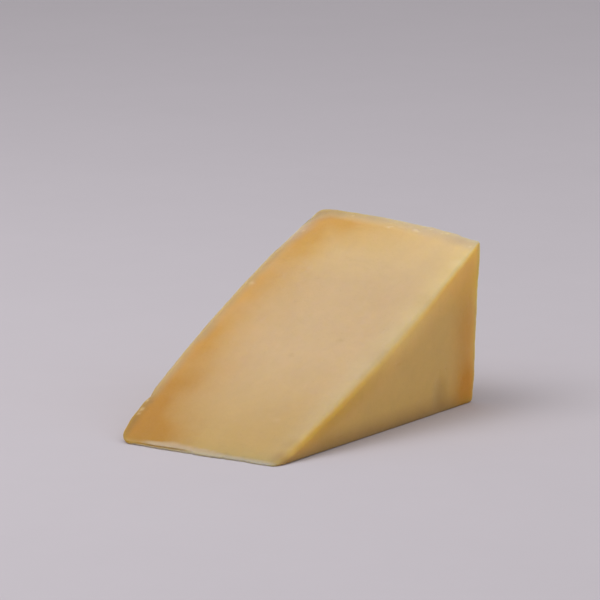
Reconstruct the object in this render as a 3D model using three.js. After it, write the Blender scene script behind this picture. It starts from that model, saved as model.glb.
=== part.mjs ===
// A hand-cut chunk of hard aged cheese: one solid wedge, lying on one of its cut faces.
//
// Units are millimetres and +Z is up. +X runs from the thin tip to the tall rind, and
// +Y runs across the chunk, from the end that was cut to the end that is the flat side
// of the wheel. The origin is the middle of the chunk's box, on the face it lies on.
//
// The wedge is worked out in two steps. First a straight prism with a triangular
// profile (tip, heel, top) is laid out as rings of points across the width, with round
// corners and with round edges at both ends. Then every point goes through one warp,
// which gives the leaning and bowed rind, the taller rind end, the hollows and waves of
// the cuts, and the dents. The warp only scales heights, so the base stays exactly flat.

import * as THREE from 'three';

// ---- Driving dimensions ------------------------------------------------------------------
const LENGTH = 110; // tip to rind along the base, at the cut end
const WIDTH = 60; // across, from the cut end to the rind end
const CUT_END_HEIGHT = 51.7; // height of the rind at the cut end
const RIND_END_HEIGHT = 58.8; // and at the rind end
const TIP_LOSS = 1.6; // length that the blunt tip takes off the sharp wedge

// ---- Leans, bows and waves ---------------------------------------------------------------
const RIND_LEAN = { cutEnd: 3.9, rindEnd: 1.2 }; // outward, from the heel to the top
const RIND_SPLAY = -0.5; // how much longer the base is at the rind end
const RIND_BOW = 2.4; // bulge of the wheel's round side, at half width
const SLOPE_SAG = 2.1; // hollow of the slope along the cut end
const SLOPE_CROWN = 3.1; // crown of the slope along the rind end
const CUT_END_SWELL = 0.9; // bulge of the cut end along the slope
const RIND_END_SWELL = 1.2; // bulge of the rind end, fullest near the tip
const CUT_WAVE = 0.16; // height of the long knife waves on the slope
const TIP_WAVE = 0.35; // wander of the thin tip edge
const TIP_SKEW = 0.4; // how far the tip edge runs out at the rind end

// ---- Rounding ----------------------------------------------------------------------------
// Radius of each profile corner, at the cut end and at the rind end.
const CORNER_RADIUS = {
  tip: { cutEnd: 0.42, rindEnd: 0.5 },
  heel: { cutEnd: 2.4, rindEnd: 3.0 },
  top: { cutEnd: 0.6, rindEnd: 1.4 },
};
// Rounding of the edges of each end face. Inset is how far each side of the profile has
// moved in at the end face, at its first corner, its middle and its last corner. Setback
// is how far from the end face the rounding starts, at each corner and side.
const END_ROUNDING = {
  cutEnd: {
    inset: { base: [0.4, 0.5, 0.6], rind: [0.6, 0.7, 0.7], slope: [0.7, 2.6, 0.4] },
    setback: { tip: 0.5, base: 0.5, heel: 0.7, rind: 0.7, top: 0.8, slope: 2.6 },
  },
  rindEnd: {
    inset: { base: [1.6, 1.2, 1.2], rind: [4.0, 4.2, 4.2], slope: [1.0, 1.6, 1.1] },
    setback: { tip: 6.0, base: 1.6, heel: 4.0, rind: 4.4, top: 4.4, slope: 2.2 },
  },
};

// ---- Dents -------------------------------------------------------------------------------
// A shallow pressed hollow low on the cut end, near the heel.
const PRESS_MARK = { fromTip: 90, height: 6.5, halfLength: 5, halfHeight: 9, depth: 0.7 };
// A small nick in the long edge of the rind end, near the tip.
const NICK = { fromTip: 18.5, halfLength: 3.2, reach: 4, depth: 0.8 };

// ---- How finely the surface is divided ---------------------------------------------------
const STEPS_ON = { base: 26, rind: 14, slope: 30 }; // steps along each straight side
const STEPS_IN_CORNER = 4; // steps round each profile corner
const WIDTH_STEPS = 18; // steps between the two rounded ends
const EDGE_STEPS = 4; // steps round each end's rounded edge
const END_FACE_STEPS = 9; // steps from that edge to the middle of the end face

const MEAN_HEIGHT = (CUT_END_HEIGHT + RIND_END_HEIGHT) / 2;
const SHARP_LENGTH = LENGTH + TIP_LOSS;
const CORNERS = ['tip', 'heel', 'top'];
const SIDES = ['base', 'rind', 'slope']; // the side that follows each corner

/** Value the given share of the way between two values. */
const mix = (from, to, share) => from + (to - from) * share;

/** Arch that is 0 at both ends of its span and 1 in the middle. */
const arch = (share) => 4 * share * (1 - share);

/** Round hollow that is 1 at its centre and fades to 0 at a distance of 1. */
const hollow = (distance) => (distance < 1 ? (1 + Math.cos(Math.PI * distance)) / 2 : 0);

/** The straight profile's corners, with the directions of the sides that meet there. */
function sharpCorners() {
  const points = [
    new THREE.Vector2(0, 0),
    new THREE.Vector2(SHARP_LENGTH, 0),
    new THREE.Vector2(SHARP_LENGTH, MEAN_HEIGHT),
  ];
  return points.map((point, index) => {
    const before = points[(index + 2) % 3].clone().sub(point).normalize();
    const after = points[(index + 1) % 3].clone().sub(point).normalize();
    return { point, before, after, angle: Math.acos(before.dot(after)) };
  });
}

/**
 * A corner of the profile once its two sides have moved in, with its rounding.
 * share is the place across the width and shrink the part of the end's inset in force.
 */
function movedCorner({ point, before, after, angle }, index, share, end, shrink) {
  const name = CORNERS[index];
  const insetBefore = end.inset[SIDES[(index + 2) % 3]][2] * shrink;
  const insetAfter = end.inset[SIDES[index]][0] * shrink;
  const moved = point.clone()
    .addScaledVector(before, insetAfter / Math.sin(angle))
    .addScaledVector(after, insetBefore / Math.sin(angle));
  return {
    point: moved,
    bisector: before.clone().add(after).normalize(),
    half: angle / 2,
    radius: mix(CORNER_RADIUS[name].cutEnd, CORNER_RADIUS[name].rindEnd, share),
    setback: end.setback[name],
  };
}

/** One closed ring of the profile, as a list of { x, z, setback }. */
function profileRing(share, end, shrink) {
  const corners = sharpCorners().map((corner, index) =>
    movedCorner(corner, index, share, end, shrink));
  return corners.flatMap((corner, index) => {
    const next = corners[(index + 1) % 3];
    return [...cornerArc(corner), ...sideLine(corner, next, SIDES[index], end, shrink)];
  });
}

/** The arc of one round corner, from the side before it to the side after it. */
function cornerArc({ point, bisector, half, radius, setback }) {
  const centre = point.clone().addScaledVector(bisector, radius / Math.sin(half));
  const turn = Math.PI / 2 - half;
  const arc = [];
  for (let step = 0; step <= STEPS_IN_CORNER; step += 1) {
    const spoke = bisector.clone().multiplyScalar(-radius);
    spoke.rotateAround(new THREE.Vector2(), mix(-turn, turn, step / STEPS_IN_CORNER));
    arc.push({ x: centre.x + spoke.x, z: centre.y + spoke.y, setback });
  }
  return arc;
}

/** The side between two corners, moved in further at its middle where its edge is rounder. */
function sideLine(from, to, side, end, shrink) {
  const direction = to.point.clone().sub(from.point).normalize();
  const inward = new THREE.Vector2(-direction.y, direction.x);
  const start = from.radius / Math.tan(from.half);
  const stop = to.point.distanceTo(from.point) - to.radius / Math.tan(to.half);
  const [insetFrom, insetMiddle, insetTo] = end.inset[side];
  const widen = end.setback[side] - (from.setback + to.setback) / 2;
  const line = [];
  for (let step = 1; step < STEPS_ON[side]; step += 1) {
    const share = step / STEPS_ON[side];
    const pull = (insetMiddle - (insetFrom + insetTo) / 2) * shrink * arch(share);
    const place = from.point.clone()
      .addScaledVector(direction, mix(start, stop, share))
      .addScaledVector(inward, pull);
    const setback = mix(from.setback, to.setback, share) + widen * arch(share);
    line.push({ x: place.x, z: place.y, setback });
  }
  return line;
}

/** Moves a point of the straight prism to its place in the real chunk. */
function warp({ x, y, z }) {
  const share = y / WIDTH + 0.5; // 0 at the cut end, 1 at the rind end
  const run = x / SHARP_LENGTH; // 0 at the sharp tip, 1 at the rind
  const level = z / MEAN_HEIGHT; // height as a part of the whole height
  const fill = Math.min(1, level / run); // 0 at the base, 1 at the slope

  // The rind leans outwards and bows, and what lies before it stretches with it.
  const lean = mix(RIND_LEAN.cutEnd, RIND_LEAN.rindEnd, share) * level;
  const reach = SHARP_LENGTH + lean + RIND_SPLAY * share + RIND_BOW * arch(share);
  const wander = Math.sin(9 * share + 0.6) + 0.6 * Math.sin(21 * share + 2);
  const tipShift = (TIP_WAVE * wander - TIP_SKEW * share) * (1 - run) ** 6;

  // The slope is taller at the rind end, hollow along the cut end and crowned along the
  // rind end. All of it is a factor on the height, so the base stays at zero.
  const height = mix(CUT_END_HEIGHT, RIND_END_HEIGHT, share);
  const stretch = reach / (SHARP_LENGTH + RIND_LEAN.cutEnd);
  const bow = mix(-SLOPE_SAG, SLOPE_CROWN, share) * 4 * (1 - run);
  const waves = Math.sin(17 * run + 3 * share) + 0.7 * Math.sin(31 * run - 5 * share + 1);
  const factor = height * stretch + bow + CUT_WAVE * waves * run;

  // Both ends swell along the slope, and the rind end down to its base as well.
  const cutSwell = CUT_END_SWELL * (1 - share) ** 3 * arch(run) * fill;
  const rindSwell = RIND_END_SWELL * share ** 3 * rindEndArch(run) * mix(0.4, 1, fill);

  const place = new THREE.Vector3(run * reach - TIP_LOSS + tipShift, y, level * factor);
  place.y += rindSwell - cutSwell + pressMark(place, share) - nick(place, fill);
  return place;
}

/** Arch along the rind end that rises steeply at the tip, and is 1 at its peak. */
function rindEndArch(run) {
  const peak = Math.sqrt(1 / 3) * (2 / 3);
  return Math.sqrt(run) * (1 - run) / peak;
}

/** How far the pressed hollow moves a point of the cut end inwards. */
function pressMark({ x, z }, share) {
  const along = (x - PRESS_MARK.fromTip) / PRESS_MARK.halfLength;
  const up = (z - PRESS_MARK.height) / PRESS_MARK.halfHeight;
  return PRESS_MARK.depth * hollow(Math.hypot(along, up)) * (1 - share) ** 8;
}

/** How far the nick moves a point of the rind end's long edge inwards. */
function nick({ x, y }, fill) {
  const along = (x - NICK.fromTip) / NICK.halfLength;
  const across = (WIDTH / 2 - y) / NICK.reach;
  return NICK.depth * hollow(Math.hypot(along, across)) * fill ** 4;
}

/** Rings of the long sides, from the cut end's rounded edge to the rind end's. */
function sideRings() {
  const { cutEnd, rindEnd } = END_ROUNDING;
  const cutSetbacks = profileRing(0, cutEnd, 0).map(({ setback }) => setback);
  const rindSetbacks = profileRing(1, rindEnd, 0).map(({ setback }) => setback);
  const rings = [];
  for (let step = 0; step <= WIDTH_STEPS; step += 1) {
    const share = step / WIDTH_STEPS;
    const ring = profileRing(share, cutEnd, 0);
    rings.push(ring.map(({ x, z }, index) => {
      const near = cutSetbacks[index] - WIDTH / 2;
      const far = WIDTH / 2 - rindSetbacks[index];
      return new THREE.Vector3(x, mix(near, far, share), z);
    }));
  }
  return rings;
}

/** Rings round an end's rounded edge and over its face, and the single middle point. */
function endRings(share, end, outward) {
  const rings = [];
  for (let step = 1; step <= EDGE_STEPS; step += 1) {
    const angle = (step / EDGE_STEPS) * Math.PI / 2;
    const ring = profileRing(share, end, 1 - Math.cos(angle));
    rings.push(ring.map(({ x, z, setback }) =>
      new THREE.Vector3(x, outward * (WIDTH / 2 - setback * (1 - Math.sin(angle))), z)));
  }
  const rim = rings[rings.length - 1];
  const middle = faceMiddle(outward);
  for (let step = 1; step < END_FACE_STEPS; step += 1) {
    rings.push(rim.map((point) => point.clone().lerp(middle, step / END_FACE_STEPS)));
  }
  return [...rings, [middle]];
}

/** Middle of an end face: as far from the base as from the slope and the rind. */
function faceMiddle(outward) {
  const slopeLength = Math.hypot(SHARP_LENGTH, MEAN_HEIGHT);
  const radius = (SHARP_LENGTH + MEAN_HEIGHT - slopeLength) / 2;
  return new THREE.Vector3(SHARP_LENGTH - radius, outward * WIDTH / 2, radius);
}

/** Triangles between two rings of indices; a ring of one index is a pole. */
function band(lower, upper) {
  const count = Math.max(lower.length, upper.length);
  const at = (ring, column) => ring[column % Math.min(count, ring.length)];
  const faces = [];
  for (let column = 0; column < count; column += 1) {
    const [a, b] = [at(lower, column), at(lower, column + 1)];
    const [d, c] = [at(upper, column), at(upper, column + 1)];
    if (a !== b) faces.push(a, c, b);
    if (c !== d) faces.push(a, d, c);
  }
  return faces;
}

/** The whole chunk as one closed geometry, with its origin in the middle of its base. */
function chunkGeometry() {
  const cutRings = endRings(0, END_ROUNDING.cutEnd, -1).reverse();
  const rindRings = endRings(1, END_ROUNDING.rindEnd, 1);
  const rings = [...cutRings, ...sideRings(), ...rindRings];
  const points = [];
  const indices = rings.map((ring) => {
    const first = points.length;
    points.push(...ring.map(warp));
    return ring.map((_, column) => first + column);
  });
  const faces = indices.slice(1).flatMap((upper, row) => band(indices[row], upper));

  const geometry = new THREE.BufferGeometry().setFromPoints(points);
  geometry.setIndex(faces);
  geometry.computeBoundingBox();
  const { min, max } = geometry.boundingBox;
  geometry.translate(-(min.x + max.x) / 2, -(min.y + max.y) / 2, -min.z);
  geometry.computeVertexNormals();
  return geometry;
}

/** Aged cheese paste: pale straw yellow, waxy and matt. */
function pasteMaterial() {
  return new THREE.MeshStandardMaterial({ color: 0xd6b37c, roughness: 0.55, metalness: 0 });
}

const chunk = new THREE.Mesh(chunkGeometry(), pasteMaterial());
chunk.name = 'parmesan_chunk';

const group = new THREE.Group();
group.add(chunk);

export default group;
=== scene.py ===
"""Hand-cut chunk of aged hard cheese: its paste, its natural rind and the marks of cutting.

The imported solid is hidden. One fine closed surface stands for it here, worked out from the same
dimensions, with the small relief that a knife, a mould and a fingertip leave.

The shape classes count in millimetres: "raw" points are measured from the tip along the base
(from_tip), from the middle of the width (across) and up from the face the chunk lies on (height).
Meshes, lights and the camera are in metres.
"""

import logging
import math
from abc import ABC, abstractmethod
from dataclasses import dataclass, field, replace
from enum import Enum
from typing import Any

import bpy
import numpy as np
from mathutils import Matrix, Vector


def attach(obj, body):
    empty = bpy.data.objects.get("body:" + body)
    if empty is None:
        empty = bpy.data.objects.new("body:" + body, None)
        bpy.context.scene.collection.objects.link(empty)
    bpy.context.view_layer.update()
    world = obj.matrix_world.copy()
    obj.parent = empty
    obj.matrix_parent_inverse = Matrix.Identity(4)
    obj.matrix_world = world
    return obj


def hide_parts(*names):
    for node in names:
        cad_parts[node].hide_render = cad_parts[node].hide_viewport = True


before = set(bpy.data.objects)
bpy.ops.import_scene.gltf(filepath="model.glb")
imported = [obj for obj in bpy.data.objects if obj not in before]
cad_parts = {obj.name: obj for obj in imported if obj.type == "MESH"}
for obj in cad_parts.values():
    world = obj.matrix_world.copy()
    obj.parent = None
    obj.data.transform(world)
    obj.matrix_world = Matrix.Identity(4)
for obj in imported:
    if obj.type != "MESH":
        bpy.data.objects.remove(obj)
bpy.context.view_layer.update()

LOG = logging.getLogger("cheese")
MM = 0.001
CAD_NODE = "parmesan_chunk"
BODY = "root"

Array = np.ndarray
Colour = tuple[float, float, float]
Node = bpy.types.Node
Socket = bpy.types.NodeSocket


# ---- Small functions of whole arrays --------------------------------------------------------


def mix(start: Any, stop: Any, share: Any) -> Any:
    """Value the given share of the way between two values."""
    return start + (stop - start) * share


def arch(share: Array) -> Array:
    """Arch that is 0 at both ends of its span and 1 in the middle: 4 s (1 - s)."""
    return 4 * share * (1 - share)


def hollow(distance: Array) -> Array:
    """Round hollow, 1 at its centre and 0 from a distance of 1 on: half of 1 + cos(pi d)."""
    return (1 + np.cos(np.pi * np.minimum(distance, 1))) / 2


def smooth_step(start: float, stop: float, value: Array) -> Array:
    """Soft step from 0 at start to 1 at stop: t t (3 - 2 t), with t the share of the way."""
    share = np.clip((value - start) / (stop - start), 0, 1)
    return share * share * (3 - 2 * share)


@dataclass(frozen=True)
class SoftStep:
    """A soft step along a measure, from a first value to a last one."""

    start: float
    stop: float
    first: float = 0.0
    last: float = 1.0

    def at(self, measure: Array) -> Array:
        """The first value up to the start, and the last one from the stop on."""
        return mix(self.first, self.last, smooth_step(self.start, self.stop, measure))


def fade(start: float, stop: float, first: float = 1.0) -> SoftStep:
    """A soft step that falls to 0."""
    return SoftStep(start, stop, first, 0.0)


@dataclass(frozen=True)
class SoftSpan:
    """A span of a measure: it rises softly from start to full, and falls from ebb to stop."""

    start: float
    full: float
    ebb: float
    stop: float

    def at(self, measure: Array) -> Array:
        """1 within the span and 0 beyond its ends."""
        rise = smooth_step(self.start, self.full, measure)
        return rise * (1 - smooth_step(self.ebb, self.stop, measure))


def graded(steps: int, gather: float) -> Array:
    """Shares from 0 to 1 that lie closer together near both ends.

    Each share is t - gather sin(2 pi t) / (2 pi), with t in equal steps.

    Args:
        steps: number of steps between 0 and 1.
        gather: 0 for equal steps, towards 1 for ever closer ends.

    Returns:
        The steps + 1 shares.
    """
    even = np.linspace(0, 1, steps + 1)
    return even - gather * np.sin(2 * np.pi * even) / (2 * np.pi)


def srgb(red: int, green: int, blue: int) -> Colour:
    """Linear colour of a screen colour with parts from 0 to 255.

    Args:
        red: the screen colour's red part.
        green: its green part.
        blue: its blue part.

    Returns:
        The linear parts, from 0 to 1.
    """
    parts = np.array([red, green, blue]) / 255
    linear = np.where(parts <= 0.04045, parts / 12.92, ((parts + 0.055) / 1.055) ** 2.4)
    return tuple(float(part) for part in linear)


class LatticeNoise:
    """Smooth random field in space.

    Seeded values from -1 to 1 stand at whole-number lattice points. Between them the eight nearest
    are blended with soft steps along each axis, and the lattice repeats after its period.
    """

    PERIOD = 32

    def __init__(self, seed: int) -> None:
        """Draws the lattice values of one field."""
        draw = np.random.default_rng(seed)
        self.values = draw.uniform(-1, 1, (self.PERIOD,) * 3)

    def at(self, points: Array, cell: float | tuple[float, float, float]) -> Array:
        """Reads the field.

        Args:
            points: places in mm, with the three coordinates along the last axis.
            cell: distance between lattice points in mm, one for all axes or one each.

        Returns:
            The field's value at each place.
        """
        grid = points / np.asarray(cell)
        low = np.floor(grid).astype(int)
        near = smooth_step(0, 1, grid - low)
        total = np.zeros(points.shape[:-1])
        for corner in np.ndindex(2, 2, 2):
            index = (low + corner) % self.PERIOD
            weight = np.prod(np.where(corner, near, 1 - near), axis=-1)
            total += weight * self.values[index[..., 0], index[..., 1], index[..., 2]]
        return total


@dataclass(frozen=True)
class Layer:
    """One reading of a noise field: its number, its cell in mm and its weight."""

    number: int
    cell: float | tuple[float, float, float]
    weight: float = 1.0


Layers = tuple[Layer, ...]


class NoiseFields:
    """The noise fields that the relief and the finishes share."""

    COUNT = 6

    def __init__(self, seed: int) -> None:
        """Draws the fields, each from a seed of its own."""
        self.fields = [LatticeNoise(seed + step) for step in range(self.COUNT)]

    def sum(self, points: Array, *layers: Layer) -> Array:
        """Adds up some layers.

        Args:
            points: places in mm, with the three coordinates along the last axis.
            layers: what is read and added.

        Returns:
            The sum at each place.
        """
        return sum(
            layer.weight * self.fields[layer.number].at(points, layer.cell) for layer in layers
        )


@dataclass(frozen=True)
class Speckle:
    """Scattered spots: the places where a noise layer rises over a soft step."""

    layer: Layer
    step: SoftStep


# ---- The wedge's smooth surface --------------------------------------------------------------


class Corner(Enum):
    """A corner of the wedge's profile, in order round it."""

    TIP = 0
    HEEL = 1
    TOP = 2


class Side(Enum):
    """A side of the profile; each follows the corner of the same number."""

    BASE = 0
    RIND = 1
    SLOPE = 2


@dataclass(frozen=True)
class EndRounding:
    """How the edges round one end face are rounded, in mm.

    Inset is how far each side has moved in at the end face, at its first corner, its middle and
    its last corner. Setback is how far before the end face the rounding starts.
    """

    outward: int
    inset: dict[Side, tuple[float, float, float]]
    corner_setback: dict[Corner, float]
    side_setback: dict[Side, float]

    @property
    def share(self) -> float:
        """Place of the end across the width: 0 at the cut end, 1 at the rind end."""
        return (1 + self.outward) / 2


CUT_END = EndRounding(
    outward=-1,
    inset={Side.BASE: (0.4, 0.5, 0.6), Side.RIND: (0.6, 0.5, 0.35), Side.SLOPE: (0.6, 2.8, 2.1)},
    corner_setback={Corner.TIP: 2.2, Corner.HEEL: 0.7, Corner.TOP: 0.6},
    side_setback={Side.BASE: 0.5, Side.RIND: 0.5, Side.SLOPE: 2.6},
)
RIND_END = EndRounding(
    outward=1,
    inset={Side.BASE: (1.6, 1.2, 1.2), Side.RIND: (4.0, 4.2, 4.2), Side.SLOPE: (1.0, 1.6, 1.1)},
    corner_setback={Corner.TIP: 6.0, Corner.HEEL: 4.0, Corner.TOP: 4.4},
    side_setback={Side.BASE: 1.6, Side.RIND: 4.4, Side.SLOPE: 2.2},
)


@dataclass(frozen=True)
class RoundCorner:
    """One profile corner of every ring: its point, its bisector, and its rounding."""

    point: Array
    bisector: Array
    half_angle: float
    radius: Array
    setback: float

    @property
    def tangent_length(self) -> Array:
        """Distance along each side from the sharp corner to where its rounding starts."""
        return self.radius / math.tan(self.half_angle)


@dataclass(frozen=True)
class Dent:
    """A soft hollow in an end face: its middle, its half sizes and its depth, in mm."""

    from_tip: float
    height: float
    half_length: float
    half_height: float
    depth: float


@dataclass(frozen=True)
class Wave:
    """A sine wave: its turn in radians along and across the wedge, its phase and its weight."""

    along: float
    across: float
    phase: float
    weight: float

    def at(self, run: Array, share: Array) -> Array:
        """Height of the wave at shares of the way along and across."""
        return self.weight * np.sin(self.along * run + self.across * share + self.phase)


@dataclass
class Surface:
    """Points of the closed surface, the faces between them, and where each belongs.

    Straight points lie on the prism before the warp, and raw points after it.
    """

    straight: Array
    raw: Array
    quads: Array
    caps: Array
    skin_quads: Array
    skin_caps: Array
    base_quads: Array

    def normals(self) -> Array:
        """Outward unit normals of the raw points, each the sum of its faces' area vectors.

        Returns:
            One normal for each point.
        """
        total = np.zeros_like(self.raw)
        for faces in (self.quads, self.caps):
            corners = self.raw[faces]
            area = np.cross(corners[:, 2] - corners[:, 0], corners[:, -1] - corners[:, 1])
            for column in range(faces.shape[1]):
                for axis in range(3):
                    total[:, axis] += np.bincount(
                        faces[:, column], weights=area[:, axis], minlength=len(self.raw)
                    )
        return total / np.linalg.norm(total, axis=1, keepdims=True)


@dataclass(frozen=True)
class Wedge:
    """The wedge's sizes in mm, and the smooth closed surface they give."""

    length: float = 110.0
    width: float = 60.0
    cut_end_height: float = 51.7
    rind_end_height: float = 58.8
    tip_loss: float = 1.6
    rind_lean: tuple[float, float] = (3.9, 1.2)
    rind_splay: float = -0.5
    rind_bow: float = 2.4
    slope_sag: float = 2.1
    slope_crown: float = 3.1
    cut_end_swell: float = 0.9
    rind_end_swell: float = 1.2
    cut_wave: float = 0.16
    cut_waves: tuple[Wave, Wave] = (Wave(17, 3, 0, 1), Wave(31, -5, 1, 0.7))
    tip_wave: float = 0.35
    tip_waves: tuple[Wave, Wave] = (Wave(0, 9, 0.6, 1), Wave(0, 21, 2, 0.6))
    tip_skew: float = 0.4
    corner_radius: dict[Corner, tuple[float, float]] = field(
        default_factory=lambda: {
            Corner.TIP: (0.42, 0.5),
            Corner.HEEL: (1.6, 3.0),
            Corner.TOP: (0.6, 1.4),
        }
    )
    press_mark: Dent = Dent(from_tip=90, height=6.5, half_length=5, half_height=9, depth=0.7)
    nick: Dent = Dent(from_tip=18.5, height=0, half_length=3.2, half_height=4, depth=0.8)

    side_steps: dict[Side, int] = field(
        default_factory=lambda: {Side.BASE: 60, Side.RIND: 84, Side.SLOPE: 210}
    )
    corner_steps: dict[Corner, int] = field(
        default_factory=lambda: {Corner.TIP: 14, Corner.HEEL: 8, Corner.TOP: 8}
    )
    width_steps: int = 104
    edge_steps: int = 9
    face_steps: int = 34
    gather: float = 0.55

    @property
    def mean_height(self) -> float:
        """Height of the straight profile."""
        return (self.cut_end_height + self.rind_end_height) / 2

    @property
    def sharp_length(self) -> float:
        """Length of the straight profile, with the tip not yet blunt."""
        return self.length + self.tip_loss

    @property
    def slope_length(self) -> float:
        """Length of the straight profile's slope."""
        return math.hypot(self.sharp_length, self.mean_height)

    def corner(self, which: Corner, share: Array, end: EndRounding, shrink: Array) -> RoundCorner:
        """Places one corner once its two sides have moved in.

        The corner moves along each side by the other side's inset over the sine of its angle.

        Args:
            which: the corner.
            share: place of each ring across the width, as a column.
            end: the end whose insets apply.
            shrink: part of the inset in force at each ring, as a column.

        Returns:
            The corner of every ring.
        """
        points = np.array(
            [[0, 0], [self.sharp_length, 0], [self.sharp_length, self.mean_height]]
        )
        order = which.value
        before = points[order - 1] - points[order]
        after = points[(order + 1) % 3] - points[order]
        before = before / np.linalg.norm(before)
        after = after / np.linalg.norm(after)
        angle = math.acos(float(before @ after))
        inset_before = end.inset[Side((order + 2) % 3)][2] * shrink
        inset_after = end.inset[Side(order)][0] * shrink
        moved = points[order] + (before * inset_after + after * inset_before) / math.sin(angle)
        bisector = before + after
        return RoundCorner(
            point=moved,
            bisector=bisector / np.linalg.norm(bisector),
            half_angle=angle / 2,
            radius=mix(*self.corner_radius[which], share),
            setback=end.corner_setback[which],
        )

    def corner_arc(self, corner: RoundCorner, steps: int) -> tuple[Array, Array, Array]:
        """Arc of a round corner, turned about its centre from one side to the other.

        Args:
            corner: the corner of every ring.
            steps: number of steps round the arc.

        Returns:
            x, z and setback, each with one row a ring.
        """
        centre = corner.point + corner.bisector * (corner.radius / math.sin(corner.half_angle))
        turn = math.pi / 2 - corner.half_angle
        angle = np.linspace(-turn, turn, steps + 1)
        spoke_x, spoke_z = -corner.bisector
        x = centre[:, :1] + corner.radius * (spoke_x * np.cos(angle) - spoke_z * np.sin(angle))
        z = centre[:, 1:] + corner.radius * (spoke_x * np.sin(angle) + spoke_z * np.cos(angle))
        return x, z, np.full_like(x, corner.setback)

    def side_line(
        self, side: Side, start: RoundCorner, stop: RoundCorner, end: EndRounding, shrink: Array
    ) -> tuple[Array, Array, Array]:
        """Side between two corners, moved in further at its middle where its edge is rounder.

        Args:
            side: the side.
            start: the corner it starts from.
            stop: the corner it runs to.
            end: the end whose insets and setbacks apply.
            shrink: part of the inset in force at each ring, as a column.

        Returns:
            x, z and setback, each with one row a ring, without the corners' own points.
        """
        span = stop.point - start.point
        distance = np.linalg.norm(span, axis=1, keepdims=True)
        direction = span / distance
        inward = np.stack([-direction[:, 1], direction[:, 0]], axis=1)
        share = graded(self.side_steps[side], self.gather)[1:-1]
        along = mix(start.tangent_length, distance - stop.tangent_length, share)
        first, middle, last = end.inset[side]
        pull = (middle - (first + last) / 2) * shrink * arch(share)
        widen = end.side_setback[side] - (start.setback + stop.setback) / 2
        setback = mix(start.setback, stop.setback, share) + widen * arch(share)
        x = start.point[:, :1] + direction[:, :1] * along + inward[:, :1] * pull
        z = start.point[:, 1:] + direction[:, 1:] * along + inward[:, 1:] * pull
        return x, z, np.broadcast_to(setback, x.shape)

    def rings(self, share: Array, end: EndRounding, shrink: Array) -> tuple[Array, Array, Array]:
        """Closed rings of the profile: corner, side, corner, side, corner, side.

        Args:
            share: place of each ring across the width, as a column.
            end: the end whose insets and setbacks apply.
            shrink: part of the inset in force at each ring, as a column.

        Returns:
            x, z and setback, each with one row a ring.
        """
        corners = [self.corner(which, share, end, shrink) for which in Corner]
        parts = []
        for which, side in zip(Corner, Side):
            start, stop = corners[which.value], corners[(which.value + 1) % 3]
            parts.append(self.corner_arc(start, self.corner_steps[which]))
            parts.append(self.side_line(side, start, stop, end, shrink))
        x, z, setback = (np.hstack(part) for part in zip(*parts))
        return x, z, setback

    def side_rows(self) -> Array:
        """Rings of the long sides, between where the rounding of either end starts.

        Returns:
            The rings' points on the straight prism, from the cut end to the rind end.
        """
        share = graded(self.width_steps, self.gather)[:, None]
        none = np.zeros_like(share)
        x, z, _ = self.rings(share, CUT_END, none)
        near = self.rings(np.zeros((1, 1)), CUT_END, np.zeros((1, 1)))[2] - self.width / 2
        far = self.width / 2 - self.rings(np.ones((1, 1)), RIND_END, np.zeros((1, 1)))[2]
        return np.stack([x, mix(near, far, share), z], axis=-1)

    def end_rows(self, end: EndRounding) -> Array:
        """Rings round one end's edge, as quarter turns, and over its face to near its middle.

        Args:
            end: the end.

        Returns:
            The rings' points on the straight prism, from the edge inwards.
        """
        angle = (np.linspace(0, 1, self.edge_steps + 1)[1:] * math.pi / 2)[:, None]
        x, z, setback = self.rings(np.full_like(angle, end.share), end, 1 - np.cos(angle))
        y = end.outward * (self.width / 2 - setback * (1 - np.sin(angle)))
        edge = np.stack([x, y, z], axis=-1)
        inward = (np.arange(1, self.face_steps) / self.face_steps)[:, None, None]
        return np.concatenate([edge, mix(edge[-1:], self.face_middle(end), inward)])

    def face_middle(self, end: EndRounding) -> Array:
        """Middle of an end face: as far from the base as from the slope and the rind."""
        radius = (self.sharp_length + self.mean_height - self.slope_length) / 2
        return np.array([self.sharp_length - radius, end.outward * self.width / 2, radius])

    def warp(self, straight: Array) -> Array:
        """Moves points of the straight prism to their places in the real chunk.

        Along the chunk a point keeps its share of the reach, which leans and bows with the rind.
        Its height is scaled by the slope's height there, so the base stays flat. Across, both ends
        swell a little along the slope, and the press mark and the nick push in.

        Args:
            straight: points of the prism, with x, y and z along the last axis.

        Returns:
            The raw points.
        """
        x, y, z = np.moveaxis(straight, -1, 0)
        share = y / self.width + 0.5
        run = x / self.sharp_length
        level = z / self.mean_height
        fill = np.minimum(1, level / run)

        lean = mix(*self.rind_lean, share) * level
        reach = self.sharp_length + lean + self.rind_splay * share + self.rind_bow * arch(share)
        wander = sum(wave.at(run, share) for wave in self.tip_waves)
        tip_shift = (self.tip_wave * wander - self.tip_skew * share) * (1 - run) ** 6
        from_tip = run * reach - self.tip_loss + tip_shift

        stretch = reach / (self.sharp_length + self.rind_lean[0])
        bow = mix(-self.slope_sag, self.slope_crown, share) * 4 * (1 - run)
        waves = sum(wave.at(run, share) for wave in self.cut_waves)
        tall = mix(self.cut_end_height, self.rind_end_height, share)
        height = level * (tall * stretch + bow + self.cut_wave * waves * run)

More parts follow.
